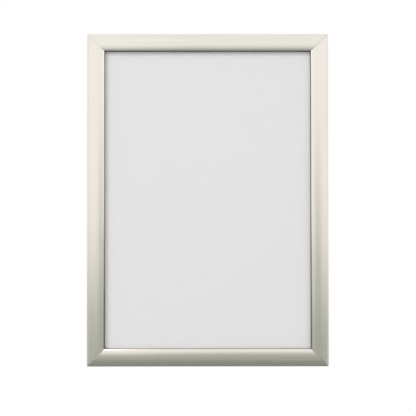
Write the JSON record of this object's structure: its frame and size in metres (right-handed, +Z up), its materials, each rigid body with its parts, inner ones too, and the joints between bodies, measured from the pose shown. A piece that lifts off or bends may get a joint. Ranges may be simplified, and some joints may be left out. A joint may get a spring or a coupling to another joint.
{
  "type": "poster frame",
  "caption": "Slim wall frame for a poster: mitred aluminium rails hinge open at the front to change the sheet behind a clear cover.",
  "frame": {"origin": "middle of the plane that the frame's back lies in, against the wall", "axes": "+Z up along the long sides, +X to the right seen from the front, -Y out of the wall towards the viewer"},
  "size_m": [0.326, 0.012, 0.449],
  "materials": {
    "anodised_aluminium": "satin anodised, slightly warm silver",
    "mill_aluminium": "plain extruded aluminium with fine die lines",
    "spring_steel": "blued spring strip",
    "zinc_steel": "bright zinc plate",
    "back_board": "white polystyrene sheet",
    "insert_paper": "blank light grey poster paper, matt",
    "clear_cover": "clear low-glare plastic sheet"
  },
  "bodies": {
    "frame_body": {"base_rail_top": "mill_aluminium", "base_rail_bottom": "mill_aluminium", "base_rail_left": "mill_aluminium", "base_rail_right": "mill_aluminium", "leaf_spring_top_1": "spring_steel", "leaf_spring_top_2": "spring_steel", "leaf_spring_bottom_1": "spring_steel", "leaf_spring_bottom_2": "spring_steel", "leaf_spring_left_1": "spring_steel", "leaf_spring_left_2": "spring_steel", "leaf_spring_right_1": "spring_steel", "leaf_spring_right_2": "spring_steel", "corner_bracket_top_left": "zinc_steel", "corner_bracket_top_right": "zinc_steel", "corner_bracket_bottom_right": "zinc_steel", "corner_bracket_bottom_left": "zinc_steel", "back_panel": "back_board", "poster_insert": "insert_paper", "cover_sheet": "clear_cover"},
    "top_flap": {"snap_rail_top": "anodised_aluminium"},
    "bottom_flap": {"snap_rail_bottom": "anodised_aluminium"},
    "left_flap": {"snap_rail_left": "anodised_aluminium"},
    "right_flap": {"snap_rail_right": "anodised_aluminium"}
  },
  "joints": [
    {"name": "top_hinge", "type": "hinge", "parent": "frame_body", "child": "top_flap", "pos_m": [0, -0.0022, 0.2228], "axis": [-1, 0, 0], "range_deg": [0, 90], "deforming": ["leaf_spring_top_1", "leaf_spring_top_2"]},
    {"name": "bottom_hinge", "type": "hinge", "parent": "frame_body", "child": "bottom_flap", "pos_m": [0, -0.0022, -0.2228], "axis": [1, 0, 0], "range_deg": [0, 90], "deforming": ["leaf_spring_bottom_1", "leaf_spring_bottom_2"]},
    {"name": "left_hinge", "type": "hinge", "parent": "frame_body", "child": "left_flap", "pos_m": [-0.1613, -0.0022, 0], "axis": [0, 0, -1], "range_deg": [0, 90], "deforming": ["leaf_spring_left_1", "leaf_spring_left_2"]},
    {"name": "right_hinge", "type": "hinge", "parent": "frame_body", "child": "right_flap", "pos_m": [0.1613, -0.0022, 0], "axis": [0, 0, 1], "range_deg": [0, 90], "deforming": ["leaf_spring_right_1", "leaf_spring_right_2"]}
  ]
}
